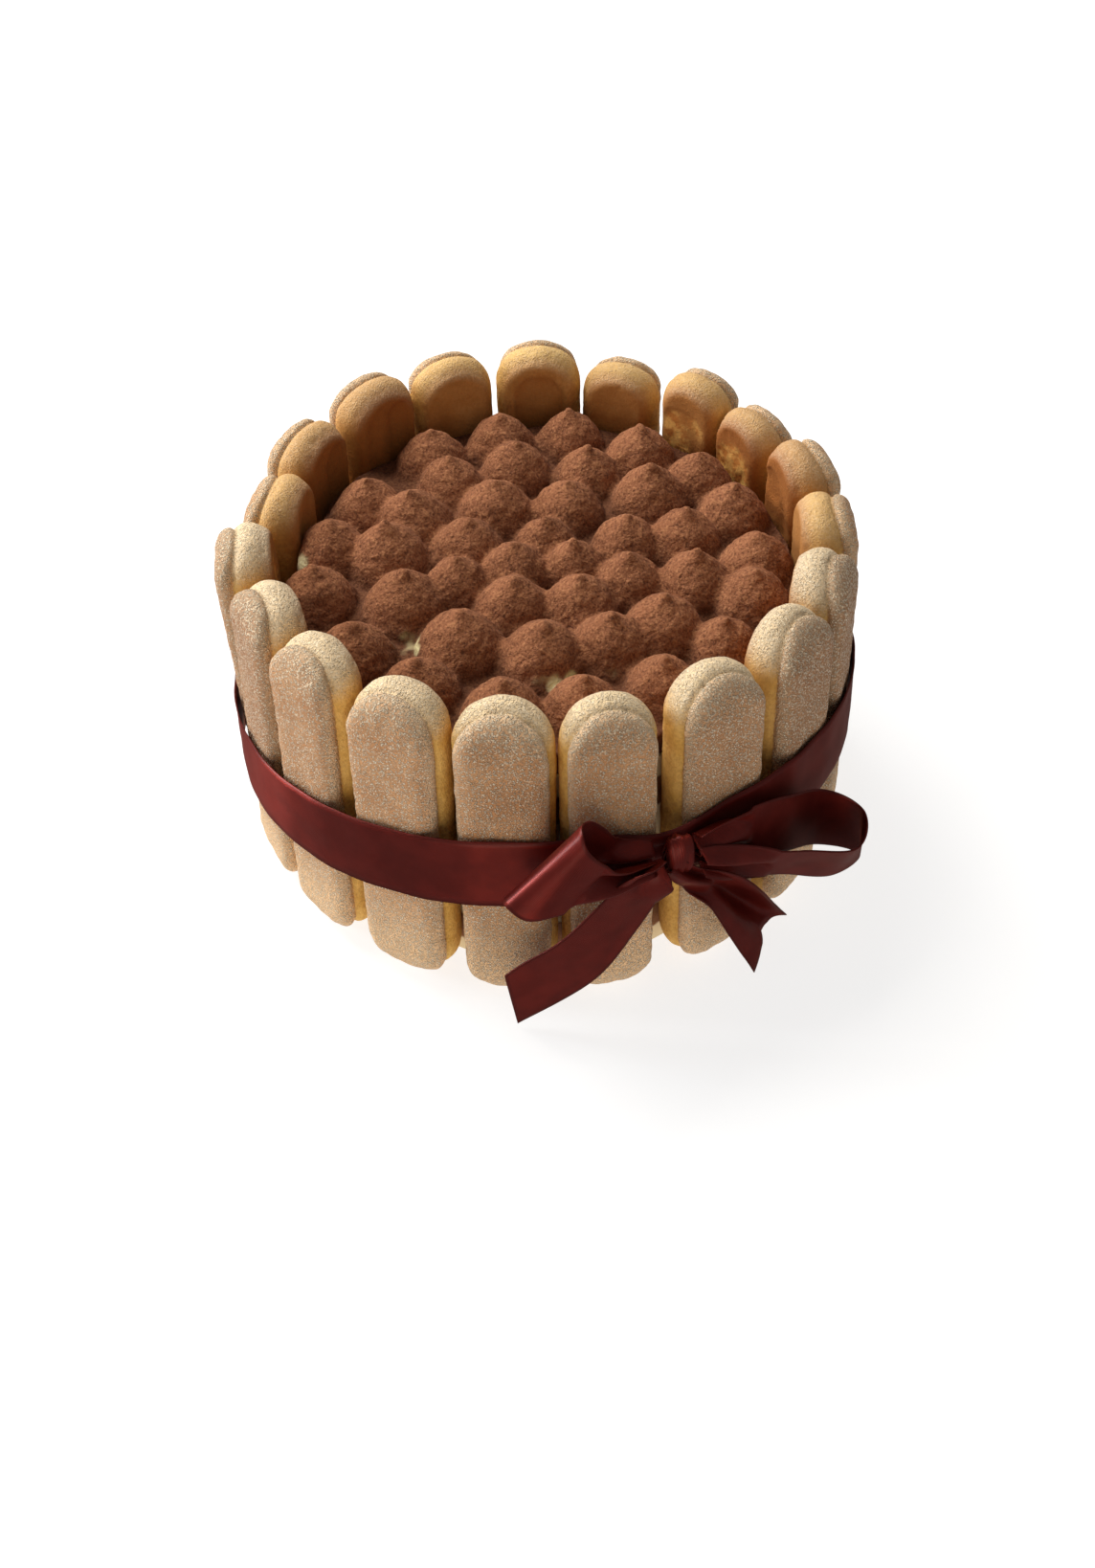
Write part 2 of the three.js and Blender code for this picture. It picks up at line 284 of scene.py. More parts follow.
def finger_shape(width, longer):
    """A finger in its own place: x across, y outwards and z along it, in millimetres."""
    straight = half_length(width, longer)
    bm = bmesh.new()
    upright = Matrix.Rotation(math.radians(90), 4, "X")
    half_step = Matrix.Rotation(math.pi / FINGER_SIDES, 4, "Y")
    radius = width / 2
    bmesh.ops.create_circle(bm, segments=FINGER_SIDES, radius=radius, matrix=half_step @ upright)
    for vert in bm.verts:
        vert.co.z += math.copysign(straight, vert.co.z)
    long_edges = [edge for edge in bm.edges if edge.calc_length() > straight]
    bmesh.ops.subdivide_edges(bm, edges=long_edges, cuts=FINGER_CUTS)
    ring = list(bm.edges)
    place_level(bm.verts, *FINGER_LEVELS[0], straight, width)
    first = list(bm.verts)
    for depth, inset in FINGER_LEVELS[1:]:
        pushed = bmesh.ops.extrude_edge_only(bm, edges=ring)["geom"]
        ring = [part for part in pushed if isinstance(part, bmesh.types.BMEdge)]
        last = [part for part in pushed if isinstance(part, bmesh.types.BMVert)]
        place_level(last, depth, inset, straight, width)
    for vert in first + last:
        vert.co.x = 0
        vert.co.z = max(-straight, min(straight, vert.co.z))
    bmesh.ops.remove_doubles(bm, verts=bm.verts, dist=WELD)
    bmesh.ops.recalc_face_normals(bm, faces=bm.faces)
    return bm


test = finger_shape(26, 0)
print("one finger has", len(test.faces), "faces and a volume of", round(test.calc_volume()), "mm3")
test.free()

# %% [markdown]
# Two helpers turn any mesh into a piece of the cake. The first makes the object, which attach,
# from the top, then lets ride on the cake's one body. The second applies a piece's modifiers in
# code, which keeps the finished points at hand for the crumb, the powder and the stored masks.

# %% Pieces
def add_piece(bm, name, material):
    """An object at the origin, whose mesh is in metres."""
    mesh = bpy.data.meshes.new(name)
    for face in bm.faces:
        face.smooth = True
    bm.to_mesh(mesh)
    bm.free()
    piece = bpy.data.objects.new(name, mesh)
    bpy.context.collection.objects.link(piece)
    piece.data.materials.append(material)
    return piece


def finished_copy(piece):
    """The mesh of a piece as its modifiers leave it, in a new bmesh."""
    graph = bpy.context.evaluated_depsgraph_get()
    mesh = bpy.data.meshes.new_from_object(piece.evaluated_get(graph))
    bm = bmesh.new()
    bm.from_mesh(mesh)
    bpy.data.meshes.remove(mesh)
    bpy.data.objects.remove(piece)
    return bm


def soften(value, low, high):
    """0 below low, 1 above high, and a soft curve between them."""
    share = max(0.0, min(1.0, (value - low) / (high - low)))
    return share * share * (3 - 2 * share)


print("soften(0.5, 0, 1) is", soften(0.5, 0, 1))

# %% [markdown]
# No two fingers bake alike. The ones at the back turn their bases to the camera, and each base
# has its own hollow: an arch, a ridge beside a dent, or a patch that tore off the tray. A
# hollow is a rounded box on the base, with a depth and a soft edge. A negative depth raises the
# base instead, as on the sixteenth finger.

# %% Hollows in the bases
# finger: (middle across, middle below the tip, half width, half height, depth, soft edge)
HOLLOWS = {
    1: [(2, 22, 7, 14, 0.5, 3.0)],
    11: [(-4, 15, 6, 6, 1.0, 1.6), (5, 36, 5, 16, 0.6, 3.0)],
    12: [(-2, 27, 8, 16, 0.5, 2.0)],
    13: [(-2, 26, 8, 17, 0.5, 2.0)],
    14: [(0, 30, 9, 20, 0.3, 4.0)],
    15: [(0, 34, 8.5, 27, 0.9, 1.2), (0, 38, 5, 25, 0.4, 3.0)],
    16: [(0, 24, 9, 20, -0.9, 7.0)],
    17: [(5, 30, 5.5, 24, 1.4, 1.8), (-6, 34, 3, 24, 0.5, 3.0)],
    18: [(5, 26, 6, 19, 1.6, 1.2)],
    19: [(0, 20, 7, 12, 0.5, 3.0)],
}
# fingers whose base tore: how rough it is, in millimetres
TORN = {1: 0.25, 12: 0.5, 13: 0.6}
# the torn patch: middle across, middle below the tip, half width, half height, soft edge
TORN_PATCH = (-1, 26, 9, 17, 3)
# how much browner a finger is painted than the palest ones: partly its own baking, and
# partly painted shade on the fingers that get less light
TOASTED_AND_SHADED = {
    1: 0.6, 2: 0.9, 3: 0.3, 4: 0.1, 7: 0.4, 8: 0.9, 9: 1, 10: 0.9, 11: 2, 12: 1.7, 13: 1,
    14: 0.8, 15: 0.3, 16: 0.7, 17: 1.7, 18: 1.6, 19: 1.1,
}


def rounded_box(across, along, half_width, half_height, edge):
    """1 in the middle of a round-cornered box and 0 outside it."""
    corner = min(half_width, half_height)
    x = max(0.0, abs(across) - half_width + corner)
    z = max(0.0, abs(along) - half_height + corner)
    return 1 - soften(math.hypot(x, z), corner - edge, corner)


def hollow_depth(number, across, below_tip):
    """How deep the hollows are at a point of the base, in millimetres."""
    depth = 0.0
    for x, z, half_width, half_height, deep, edge in HOLLOWS.get(number, []):
        depth += deep * rounded_box(across - x, below_tip - z, half_width, half_height, edge)
    return depth


print("fingers with a marked base:", sorted(HOLLOWS))

# %% [markdown]
# Crumb is unevenness at three sizes: a slow swelling of the whole bar, lumps of a few
# millimetres, and small pits where bubbles broke. Nearly all of it goes inwards from the true
# form, so neighbours don't run into each other. The sugar fills the pits of the crust in part.

# %% Crumb of a finger
# each kind of unevenness: its size and its height, in millimetres
SWELL = (24, 0.3)
LUMPS = (5.5, 0.2)
SMALL_LUMPS = (2.6, 0.1)
CRUST_LUMPS = (3.2, 0.25)
TORN_CRUMB = 2.2
PIT_SIZE = 1.9
PIT_DEPTH = 0.35
PIT_FILLED = 0.2
SHRINKS = 0.12


def waves(spot, kind):
    """Unevenness of one kind at a point."""
    size, high = kind
    return noise.noise(spot / size) * high


def crumb_depth(spot, crust):
    """How far the crumb lies inside the true form at a point, in millimetres."""
    soft = waves(spot, SWELL) + waves(spot, LUMPS) + waves(spot, SMALL_LUMPS)
    pit = soften(noise.noise(spot / PIT_SIZE), 0.35, 0.62) * (PIT_DEPTH - PIT_FILLED * crust)
    return SHRINKS + soft + pit + crust * waves(spot, CRUST_LUMPS)


def torn_share(number, across, below_tip, spot):
    """0 where the base is whole and 1 where it is torn."""
    if number not in TORN:
        return 0.0
    x, z, half_width, half_height, edge = TORN_PATCH
    patch = rounded_box(across - x, below_tip - z, half_width, half_height, edge)
    return patch * soften(noise.noise(spot / 11) + 0.45, 0.0, 0.5)


highs = [high for _, high in (SWELL, LUMPS, SMALL_LUMPS, CRUST_LUMPS)]
print("the crumb is less than", round(SHRINKS + PIT_DEPTH + sum(highs), 1), "mm deep")

# %% [markdown]
# Baking a finger moves its points by the crumb and the hollows, and stores what the material
# has to know of each point: how much it is crust, base, torn crumb or the edge of the crust,
# how brown it is painted (its baking and painted shade in one mask), and how much sugar it
# caught by facing up. Only this step knows how deep in the finger a point lies. On a back
# finger the brown and the painted shade stay on its base, and its crust stays pale.

# %% Bake a finger
# the depths between which one zone turns into the next, in millimetres from the base
FLAT_ENDS = (0.5, 2.4)
BASE_ENDS = (0.3, 5.0)
CRUST_BEGINS = (11.7, 12.2)
EDGE_ENDS = (14.6, 17.0)
# a hollow starts to brown at the first depth and is brown at the second
HOLLOW_BROWNS = (0.1, 0.9)
BACK_FINGERS = range(10, 20)
BACK_SUGAR = 0.25


def masks_at(number, depth, facing_up, torn, hollow):
    """What the material has to know of one point."""
    at_back = number in BACK_FINGERS
    crust = soften(depth, *CRUST_BEGINS)
    # the brown mask: browning in the hollows, and per finger its baking and painted shade
    brown_and_shade = max(soften(hollow, *HOLLOW_BROWNS) * (1 - torn), TOASTED_AND_SHADED.get(number, 0))
    return {
        "crust": crust,
        "torn": torn,
        "base": 1 - soften(depth, *BASE_ENDS),
        "dusted": soften(facing_up, 0.0, 0.75) * (BACK_SUGAR if at_back else 1),
        "edge": crust * (1 - soften(depth, *EDGE_ENDS)),
        "brown_and_shade": brown_and_shade * (1 - crust) if at_back else brown_and_shade,
    }


def bake(bm, number, width, longer):
    """Makes the true form of a finger uneven, and stores its masks."""
    straight = half_length(width, longer)
    tip = (FINGER_LENGTH + longer) / 2
    seed = Vector((number * 37.3, number * 11.9, 0))
    names = ["crust", "torn", "base", "dusted", "edge", "brown_and_shade"]
    layers = {name: bm.verts.layers.float.new(name) for name in names}
    bm.normal_update()
    moves = []
    for vert in bm.verts:
        across, below_tip = vert.co.x, tip - vert.co.z
        depth = (vert.co.y + FINGER_DEPTH / 2) / thickness(vert.co.z, straight, width)
        spot = vert.co + seed
        flat = 1 - soften(depth, *FLAT_ENDS)
        torn = flat * torn_share(number, across, below_tip, spot)
        hollow = flat * hollow_depth(number, across, below_tip)
        hollow += torn * TORN.get(number, 0) * (0.5 + noise.noise(spot / TORN_CRUMB))
        masks = masks_at(number, depth, vert.normal.z, torn, hollow)
        for name, layer in layers.items():
            vert[layer] = masks[name]
        moves.append((vert, vert.normal * -(hollow + crumb_depth(spot, masks["crust"]))))
    for vert, move in moves:
        vert.co += move


print("crust starts", CRUST_BEGINS[0], "mm from the base")

# %% [markdown]
# Each finger stands on the floor, leans in a little and is turned round the cake's axis. A
# rotation and a shift carry its mesh there, and the object itself stays at the origin, as the
# solids' objects do.

# %% Stand a finger in the fence
def stand(bm, azimuth, out_of_line, lean_more):
    """Carries a finger from its own place to its place in the fence, and into metres."""
    lean = Matrix.Rotation(math.radians(FINGER_LEAN + lean_more), 4, "X")
    bmesh.ops.transform(bm, matrix=lean, verts=bm.verts)
    lowest = min(vert.co.z for vert in bm.verts)
    out = Matrix.Translation((0, FENCE_RADIUS + out_of_line, -lowest))
    round_the_cake = Matrix.Rotation(math.radians(azimuth - 90), 4, "Z")
    bmesh.ops.transform(bm, matrix=round_the_cake @ out, verts=bm.verts)
    bmesh.ops.scale(bm, vec=(MM, MM, MM), verts=bm.verts)


print("a finger leans in by", FINGER_LEAN, "degrees")

# %% [markdown]
# The finish of a finger has three zones. The side is dry yellow sponge. The base is browner,
# since it lay on the hot tray, and orange where it tore. The crust is tan with a few dark pits,
# pale along its edge, and set with grains of sugar; towards the foot it is painted paler, as
# painted light bounced up from the floor. Sugar also dusts whatever looks up, so the tips are
# paler than the rest. The brown mask adds each finger's baking and painted shade. One material
# does all of it with the stored masks, so the zones meet without a seam.

# %% Finish of the fingers
sponge = Finish("sugared_sponge", IOR=1.45, Specular_IOR_Level=0.3)
crust = sponge.painted("crust")
torn = sponge.painted("torn")
base = sponge.painted("base")
dusted = sponge.painted("dusted")
edge = sponge.painted("edge")
brown_and_shade = sponge.painted("brown_and_shade")
blotches = sponge.noise(11, 3)
patches = sponge.step(blotches, 0.35, 0.65)
crumb = sponge.noise(1.1, 3, 0.6)
fine_crumb = sponge.noise(0.45, 2, 0.6)
print("the fingers' masks are painted on their points")

# %% Colour of side and base
side_colour = sponge.mix(patches, tint(236, 194, 112), tint(221, 174, 88))
# painted shade: the brown mask darkens the sides and bases of the fingers that get less light, on top
# of their baked brown
side_colour = sponge.mix(brown_and_shade * 0.45, side_colour, tint(178, 124, 64))
base_colour = sponge.mix(patches, tint(210, 156, 92), tint(190, 136, 74))
base_colour = sponge.mix(brown_and_shade * 0.6, base_colour, tint(160, 98, 46))
mottled = sponge.step(sponge.noise(3, 2), 0.4, 0.6)
torn_colour = sponge.mix(mottled, tint(216, 142, 70), tint(250, 194, 108))
base_colour = sponge.mix(torn, base_colour, torn_colour)
colour = sponge.mix(base, side_colour, base_colour)
colour = sponge.mix(sponge.step(crumb, 0.6, 0.35) * 0.3, colour, tint(160, 106, 50))
print("with side and base:", len(sponge.tree.nodes), "nodes")

# %% Colour of the sugared crust
crust_colour = sponge.mix(patches, tint(207, 155, 109), tint(191, 138, 94))
crust_colour = sponge.mix(edge * 0.7, crust_colour, tint(238, 204, 162))
# painted shade: the brown mask darkens the crust of the front and side fingers too
crust_colour = sponge.mix(brown_and_shade * 0.6, crust_colour, tint(130, 88, 62))
# painted light: the crust is painted paler towards the foot, for light bounced up from the floor
foot = sponge.step(sponge.part(sponge.place, "Z"), 45 * MM, 12 * MM)
crust_colour = sponge.mix(foot, crust_colour, tint(240, 198, 150))
specks = sponge.step(sponge.noise(2.4, 2), 0.7, 0.78)
crust_colour = sponge.mix(specks * 0.5, crust_colour, tint(132, 88, 52))
colour = sponge.mix(crust, colour, crust_colour)
print("with the crust:", len(sponge.tree.nodes), "nodes")

# %% Sugar on crust and tips
frost = sponge.step(sponge.noise(0.6, 2, 0.7), 0.46, 0.62)
grains = sponge.step(sponge.cells(0.85), 0.42, 0.22)
sugared = crust + dusted * 0.9
colour = sponge.mix(frost * sugared * 0.65, colour, tint(236, 206, 172))
colour = sponge.mix(grains * crust * 0.75, colour, tint(255, 242, 216))
colour = sponge.mix(dusted * (0.65 + frost * 0.35 - crust * 0.5), colour, tint(255, 234, 200))

relief = crumb * 0.6 + fine_crumb * 0.5 + (frost * 0.7 + grains) * sugared
sponge.finish(
    Base_Color=colour,
    Roughness=0.9 - grains * crust * 0.3,
    Normal=sponge.raised(relief, 0.5),
)
print("sponge finish:", len(sponge.tree.nodes), "nodes")

# %% [markdown]
# Now each finger is lofted, rounded, baked and stood in its place. One subdivision turns the
# levels into curves. It is applied before the crumb, so that the crumb has enough points.

# %% Make the fingers
for number, (azimuth, width, longer, out_of_line, lean_more) in enumerate(FINGERS, 1):
    form = add_piece(finger_shape(width, longer), "form", sponge.material)
    rounder = form.modifiers.new("rounder", "SUBSURF")
    rounder.levels = rounder.render_levels = 1
    baked = finished_copy(form)
    bake(baked, number, width, longer)
    stand(baked, azimuth, out_of_line, lean_more)
    piece = add_piece(baked, f"sponge_finger_{number:02d}", sponge.material)
    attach(piece, "root")
    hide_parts(f"finger_{number:02d}")
print("last finger has", len(piece.data.polygons), "faces")

# %% [markdown]
# ## The piped cream
#
# Each swirl is a round dab of cream, piped straight down and pulled off, which leaves a soft
# nub. A swirl is a figure of revolution, so its half section is spun round. The dabs touch and
# sink into each other, and separate spun shells would cross with hard lines. Joining them and
# remeshing the whole in small voxels melts the crossings into the soft valleys of real cream.

# %% Sizes of the swirls
CREAM_LOW = 76.3
CREAM_TOP = 84
SWIRL_HEIGHT = 1.42

# rings of swirls: azimuth in degrees, distance from the axis, radius of the swirl
SWIRL_RINGS = [
    [
        (359, 63, 10.5), (21, 62, 10.5), (39, 63, 10), (59, 61.5, 10.5), (81, 63.5, 10),
        (101, 61.5, 10.5), (122, 63, 10.5), (151, 59.5, 10.5), (172, 62.5, 10.5), (191, 66, 10.5),
        (215, 64, 10.5), (237, 62, 10.5), (260, 63, 11), (280, 61.5, 10.5), (302, 61.5, 10),
        (324, 62.5, 9.5), (344, 62.5, 10.5),
    ],
    [
        (14, 44, 10.5), (43, 46, 11), (71, 46, 10), (99, 47, 10.5), (125, 47.5, 10.5),
        (151, 43.5, 11.5), (174, 45, 11.5), (203, 42.5, 11.5), (236, 41, 11.5), (270, 39.5, 11.5),
        (298, 40.5, 11), (320, 44.5, 11), (348, 45, 10.5),
    ],
    [
        (20, 27, 10), (73, 27.5, 10.5), (117, 29.5, 11), (158, 23.5, 10.5), (198, 25.5, 9.5),
        (246, 20, 10.5), (300, 21.5, 10.5), (342, 26.5, 10),
    ],
    [(82, 11, 9), (197, 8, 10), (355, 9.5, 9)],
]
# half a swirl in section: share of its radius, share of its height
SWIRL_PROFILE = [
    (0, 1), (0.06, 0.98), (0.12, 0.94), (0.2, 0.87), (0.3, 0.8), (0.43, 0.735), (0.58, 0.655),
    (0.72, 0.55), (0.85, 0.43), (0.97, 0.29), (1.08, 0.14), (1.18, -0.06), (0, -0.06),
]
SWIRL_SIDES = 28
# how much swirls vary: the share of the height, and what the nub is pulled or pressed
HEIGHT_VARIES = (0.96, 1.02)
NUB_VARIES = (-0.05, 0.03)
# the nub: how wide it is, where it starts to bend, and how far it may lean at the tip
NUB_WIDTH = 0.4
NUB = 0.82
NUB_LEAN = 5

# %% Spin a swirl
random.seed(7)


def spin_swirl(bm, azimuth, distance, radius):
    """Adds one dab of cream to the bmesh, with its nub bent a little to one side."""
    high = radius * SWIRL_HEIGHT * random.uniform(*HEIGHT_VARIES)
    peak = random.uniform(*NUB_VARIES)
    before = set(bm.verts)
    section = []
    for out, up in SWIRL_PROFILE:
        pulled = peak * (1 - soften(out, 0.0, NUB_WIDTH)) if up > 0 else 0
        section.append(bm.verts.new((out * radius, 0, (up + pulled) * high)))
    edges = [bm.edges.new(pair) for pair in zip(section, section[1:])]
    bmesh.ops.spin(
        bm,
        geom=section + edges,
        axis=(0, 0, 1),
        cent=(0, 0, 0),
        steps=SWIRL_SIDES,
        angle=2 * math.pi,
        use_merge=True,
    )
    made = [vert for vert in bm.verts if vert not in before]
    bmesh.ops.remove_doubles(bm, verts=made, dist=WELD)
    made = [vert for vert in bm.verts if vert not in before]
    turned = Matrix.Rotation(random.uniform(0, 2 * math.pi), 3, "Z")
    bend = turned @ Vector((random.uniform(0, NUB_LEAN), 0, 0))
    for vert in made:
        vert.co += bend * max(0.0, vert.co.z / high - NUB)
    angle = math.radians(azimuth)
    place = Vector((distance * math.cos(angle), distance * math.sin(angle), CREAM_TOP))
    bmesh.ops.translate(bm, verts=made, vec=place)


cream = bmesh.new()
for swirl in sum(SWIRL_RINGS, []):
    spin_swirl(cream, *swirl)
print(sum(len(ring) for ring in SWIRL_RINGS), "swirls,", len(cream.faces), "faces before remeshing")

# %% [markdown]
# Under the swirls lies a sheet of cream that reaches the fingers. It starts as a wide disc, and
# one cut along each finger's base leaves it with as many sides as the fence has fingers. The
# same planes later press the swirls flat where they touch a finger, as the fence does.

# %% The sheet under the swirls
CLEARANCE = 0.3
DISC_RADIUS = 95
DISC_SIDES = 48


def finger_base(finger, height):
    """A point on a finger's base at a height, and the way that the base faces out."""
    azimuth, _, _, out_of_line, lean_more = finger
    lean = math.radians(FINGER_LEAN + lean_more)
    out = FENCE_RADIUS + out_of_line - FINGER_DEPTH / 2 / math.cos(lean) - CLEARANCE
    out -= (height - FINGER_LENGTH / 2) * math.tan(lean)
    angle = math.radians(azimuth)
    flat = Vector((math.cos(angle), math.sin(angle), 0))
    outwards = flat * math.cos(lean) + Vector((0, 0, math.sin(lean)))
    return flat * out + Vector((0, 0, height)), outwards


def cut_to_fence(bm):
    """Cuts a closed shape along every finger's base and closes the cuts."""
    for finger in FINGERS:
        point, outwards = finger_base(finger, CREAM_TOP)
        cut = bmesh.ops.bisect_plane(
            bm,
            geom=list(bm.verts) + list(bm.edges) + list(bm.faces),
            plane_co=point,
            plane_no=outwards,
            clear_outer=True,
        )["geom_cut"]
        edges = [part for part in cut if isinstance(part, bmesh.types.BMEdge)]
        bmesh.ops.edgeloop_fill(bm, edges=edges)


sheet = bmesh.new()
bmesh.ops.create_cone(
    sheet,
    cap_ends=True,
    segments=DISC_SIDES,
    radius1=DISC_RADIUS,
    radius2=DISC_RADIUS,
    depth=CREAM_TOP - CREAM_LOW,
    matrix=Matrix.Translation((0, 0, (CREAM_TOP + CREAM_LOW) / 2)),
)
cut_to_fence(sheet)
print("sheet of cream:", round(sheet.calc_volume() / 1000), "cm3,", len(sheet.faces), "faces")

# %% [markdown]
# The swirls and the sheet go into one mesh. A voxel of less than a millimetre keeps the nubs,
# and one smoothing takes the steps of the voxels away.

# %% Melt the swirls and the sheet together
VOXEL = 0.83

mesh = bpy.data.meshes.new("sheet")
sheet.to_mesh(mesh)
sheet.free()
cream.from_mesh(mesh)
bmesh.ops.recalc_face_normals(cream, faces=cream.faces)
dabs = add_piece(cream, "dabs", sponge.material)
melt = dabs.modifiers.new("melt", "REMESH")
melt.mode = "VOXEL"
melt.voxel_size = VOXEL
cream = finished_copy(dabs)
bmesh.ops.smooth_vert(
    cream,
    verts=cream.verts,
    factor=0.5,
    use_axis_x=True,
    use_axis_y=True,
    use_axis_z=True,
)
print("melted cream:", len(cream.faces), "faces")

# %% [markdown]
# The powder of cocoa sits on the cream in soft heaps, so the surface is lumpy at two or three
# millimetres. Then every point that has gone past a finger's base is pressed back to it.
# Where a dab was dragged over or touched, the powder is missing and pale cream shows. Those
# places are a short list of points and sizes, and the mask goes to the material.

# %% Dust and press the cream
# bare places: x, y, z and the size of the patch, in millimetres
BARE = [
    (-38, -32, 87, 4), (-35, -35, 86, 2.5), (-50, -40, 87, 3), (-71, 1, 88, 4), (-1, -49, 87, 2.8),
    (3, -51, 87, 2.8), (8, -49, 87, 2.8), (-18, -49, 87, 3), (19, -49, 88, 3), (73, 19, 90, 4),
]

# heaps of powder: size and height, in millimetres
HEAPS = (5, 0.5)
SMALL_HEAPS = (2, 0.35)

bare_layer = cream.verts.layers.float.new("bare")
planes = [finger_base(finger, CREAM_TOP) for finger in FINGERS]
cream.normal_update()
for vert in cream.verts:
    heap = waves(vert.co, HEAPS) + waves(vert.co, SMALL_HEAPS)
    vert.co += vert.normal * heap * soften(vert.co.z, CREAM_TOP - 4, CREAM_TOP)
    for point, outwards in planes:
        past = (vert.co - point).dot(outwards)
        if past > 0:
            vert.co -= outwards * past
    for x, y, z, size in BARE:
        away = (vert.co - Vector((x, y, z))).length / size
        shown = 1 - soften(away + noise.noise(vert.co / 2.5) * 0.35, 0.45, 1.0)
        vert[bare_layer] = max(vert[bare_layer], shown)
bmesh.ops.scale(cream, vec=(MM, MM, MM), verts=cream.verts)
print("highest cream:", round(max(vert.co.z for vert in cream.verts), 4), "m")

# %% [markdown]
# Cocoa powder is dry and rough and has no gloss at all. Its grain is finer than a millimetre,
# too fine for geometry, so it is a bump and a speckle of colour. The speckle follows the bump:
# high grains and small heaps are painted lighter, as painted highlight, and low grains darker,
# as painted shade. Deep between the swirls less light arrives, so the powder is painted darker
# there by its height over the sheet: a painted shade. A slow noise varies its tone at random.

# %% Finish of the cocoa
cocoa = Finish("cocoa_on_cream", IOR=1.4)
bare = cocoa.painted("bare")
dust = cocoa.noise(0.8, 3, 0.65)
heaps = cocoa.noise(2.2, 3, 0.6)
clouds = cocoa.noise(16, 2)
low = cocoa.step(cocoa.part(cocoa.place, "Z"), (CREAM_TOP + 6) * MM, (CREAM_TOP - 0.5) * MM)

colour = cocoa.mix(cocoa.step(clouds, 0.35, 0.65), tint(148, 94, 62), tint(133, 82, 52))
# painted highlight and shade: high heaps and grains are painted lighter, low grains darker
colour = cocoa.mix(cocoa.step(heaps, 0.5, 0.7) * 0.6, colour, tint(170, 114, 76))
colour = cocoa.mix(cocoa.step(dust, 0.52, 0.66) * 0.6, colour, tint(188, 132, 90))
colour = cocoa.mix(cocoa.step(dust, 0.48, 0.34) * 0.7, colour, tint(74, 38, 22))
# painted shade: the powder low between the swirls is painted darker
colour = cocoa.mix(low * 0.6, colour, tint(66, 34, 20))
colour = cocoa.mix(bare, colour, tint(226, 212, 160))
cocoa.finish(
    Base_Color=colour,
    Roughness=0.95 - bare * 0.45,
    Normal=cocoa.raised(dust * 0.5 + heaps * 1.2, 0.85),
)

swirls = add_piece(cream, "cocoa_swirls", cocoa.material)
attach(swirls, "root")
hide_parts("piped_cream")
print("cocoa swirls:", len(swirls.data.polygons), "faces")

# %% [markdown]
# The filling inside the fence is all but hidden: it shows only as a dark line between two
# fingers. Its solid has the right shape, so it stays, and gets a finish of soft cream with
# coffee-soaked layers.

# %% Finish of the filling
LAYER = 13

filling = Finish("soaked_filling", Roughness=0.7)
wavy = filling.part(filling.place, "Z") + filling.noise(9, 2) * (4 * MM)
layers = filling.node("ShaderNodeMath", {"operation": "PINGPONG"}, {0: wavy, 1: LAYER * MM})
soaked = filling.step(layers, 7 * MM, 8.5 * MM)
pores = filling.noise(1.2, 3)
filling.finish(
    Base_Color=filling.mix(soaked, tint(236, 218, 176), tint(140, 92, 52)),
    Normal=filling.raised(pores * soaked, 0.4),
)
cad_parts["cake_body"].data.materials.clear()
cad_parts["cake_body"].data.materials.append(filling.material)
print("filling finish:", len(filling.tree.nodes), "nodes")

# %% [markdown]
# ## The ribbon
#
# Satin ribbon is a thin strip of cloth with one smooth side. A flat grid is bent along the
# route of the real strip: the grid gives even squares and a UV map in one step, and the route
# is two edge curves, which can twist, part and close on their own. Solidify then gives it the
# thickness of cloth.

# %% Cloth from a grid
RIBBON_WIDTH = 25
CLOTH = 0.4


def cloth_grid(steps, across):
    """A square grid from 0 to 1 both ways, with a UV map that fits it."""
    bm = bmesh.new()
    bm.loops.layers.uv.new("weave")
    middle = Matrix.Translation((0.5, 0.5, 0))
    bmesh.ops.create_grid(
        bm, x_segments=steps, y_segments=across, size=0.5, matrix=middle, calc_uvs=True
    )
    return bm


def stretch_uv(bm, length, width):
    """Gives the UV map the real size of the strip, in metres."""
    layer = bm.loops.layers.uv["weave"]
    for face in bm.faces:
        for loop in face.loops:
            loop[layer].uv = (loop[layer].uv.x * length * MM, loop[layer].uv.y * width * MM)


print("the ribbon is", RIBBON_WIDTH, "mm wide and", CLOTH, "mm thick")

# %% [markdown]
# An edge of a strip is a smooth curve through a few points. Each stretch between two points is
# a Bezier curve, whose handles follow the line between the neighbours on either side.

# %% Curves through points
def curve_through(points, steps):
    """Points of a smooth curve through the given ones, with the same count on each stretch."""
    points = [Vector(point) for point in points]
    ends = [2 * points[0] - points[1], *points, 2 * points[-1] - points[-2]]
    curve = []
    for before, here, there, after in zip(ends, ends[1:], ends[2:], ends[3:]):
        out = here + (there - before) / 6
        back = there - (after - here) / 6
        stretch = geometry.interpolate_bezier(here, out, back, there, steps + 1)
        curve += stretch[:-1]
    return [*curve, points[-1]]


def curve_length(curve):
    """Length of a curve that is given as points."""
    return sum((b - a).length for a, b in zip(curve, curve[1:]))


test = curve_through([(0, 0, 0), (10, 0, 0), (20, 5, 0)], 8)
print("a curve of", len(test), "points is", round(curve_length(test), 1), "mm long")

# %% [markdown]
# Satin has long threads on its face. They stretch a reflection across themselves, which draws
# the soft bright band over a fold. The shader's anisotropy does that on a coloured, half
# metallic surface, turned a quarter so that it follows the threads. A thin coat adds the pale
# glint on top of the dye. A very fine ribbing gives the threads, a slow noise keeps the dye
# from looking printed, and the two selvedges are a little darker.

# %% Finish of the satin
THREAD = 0.35

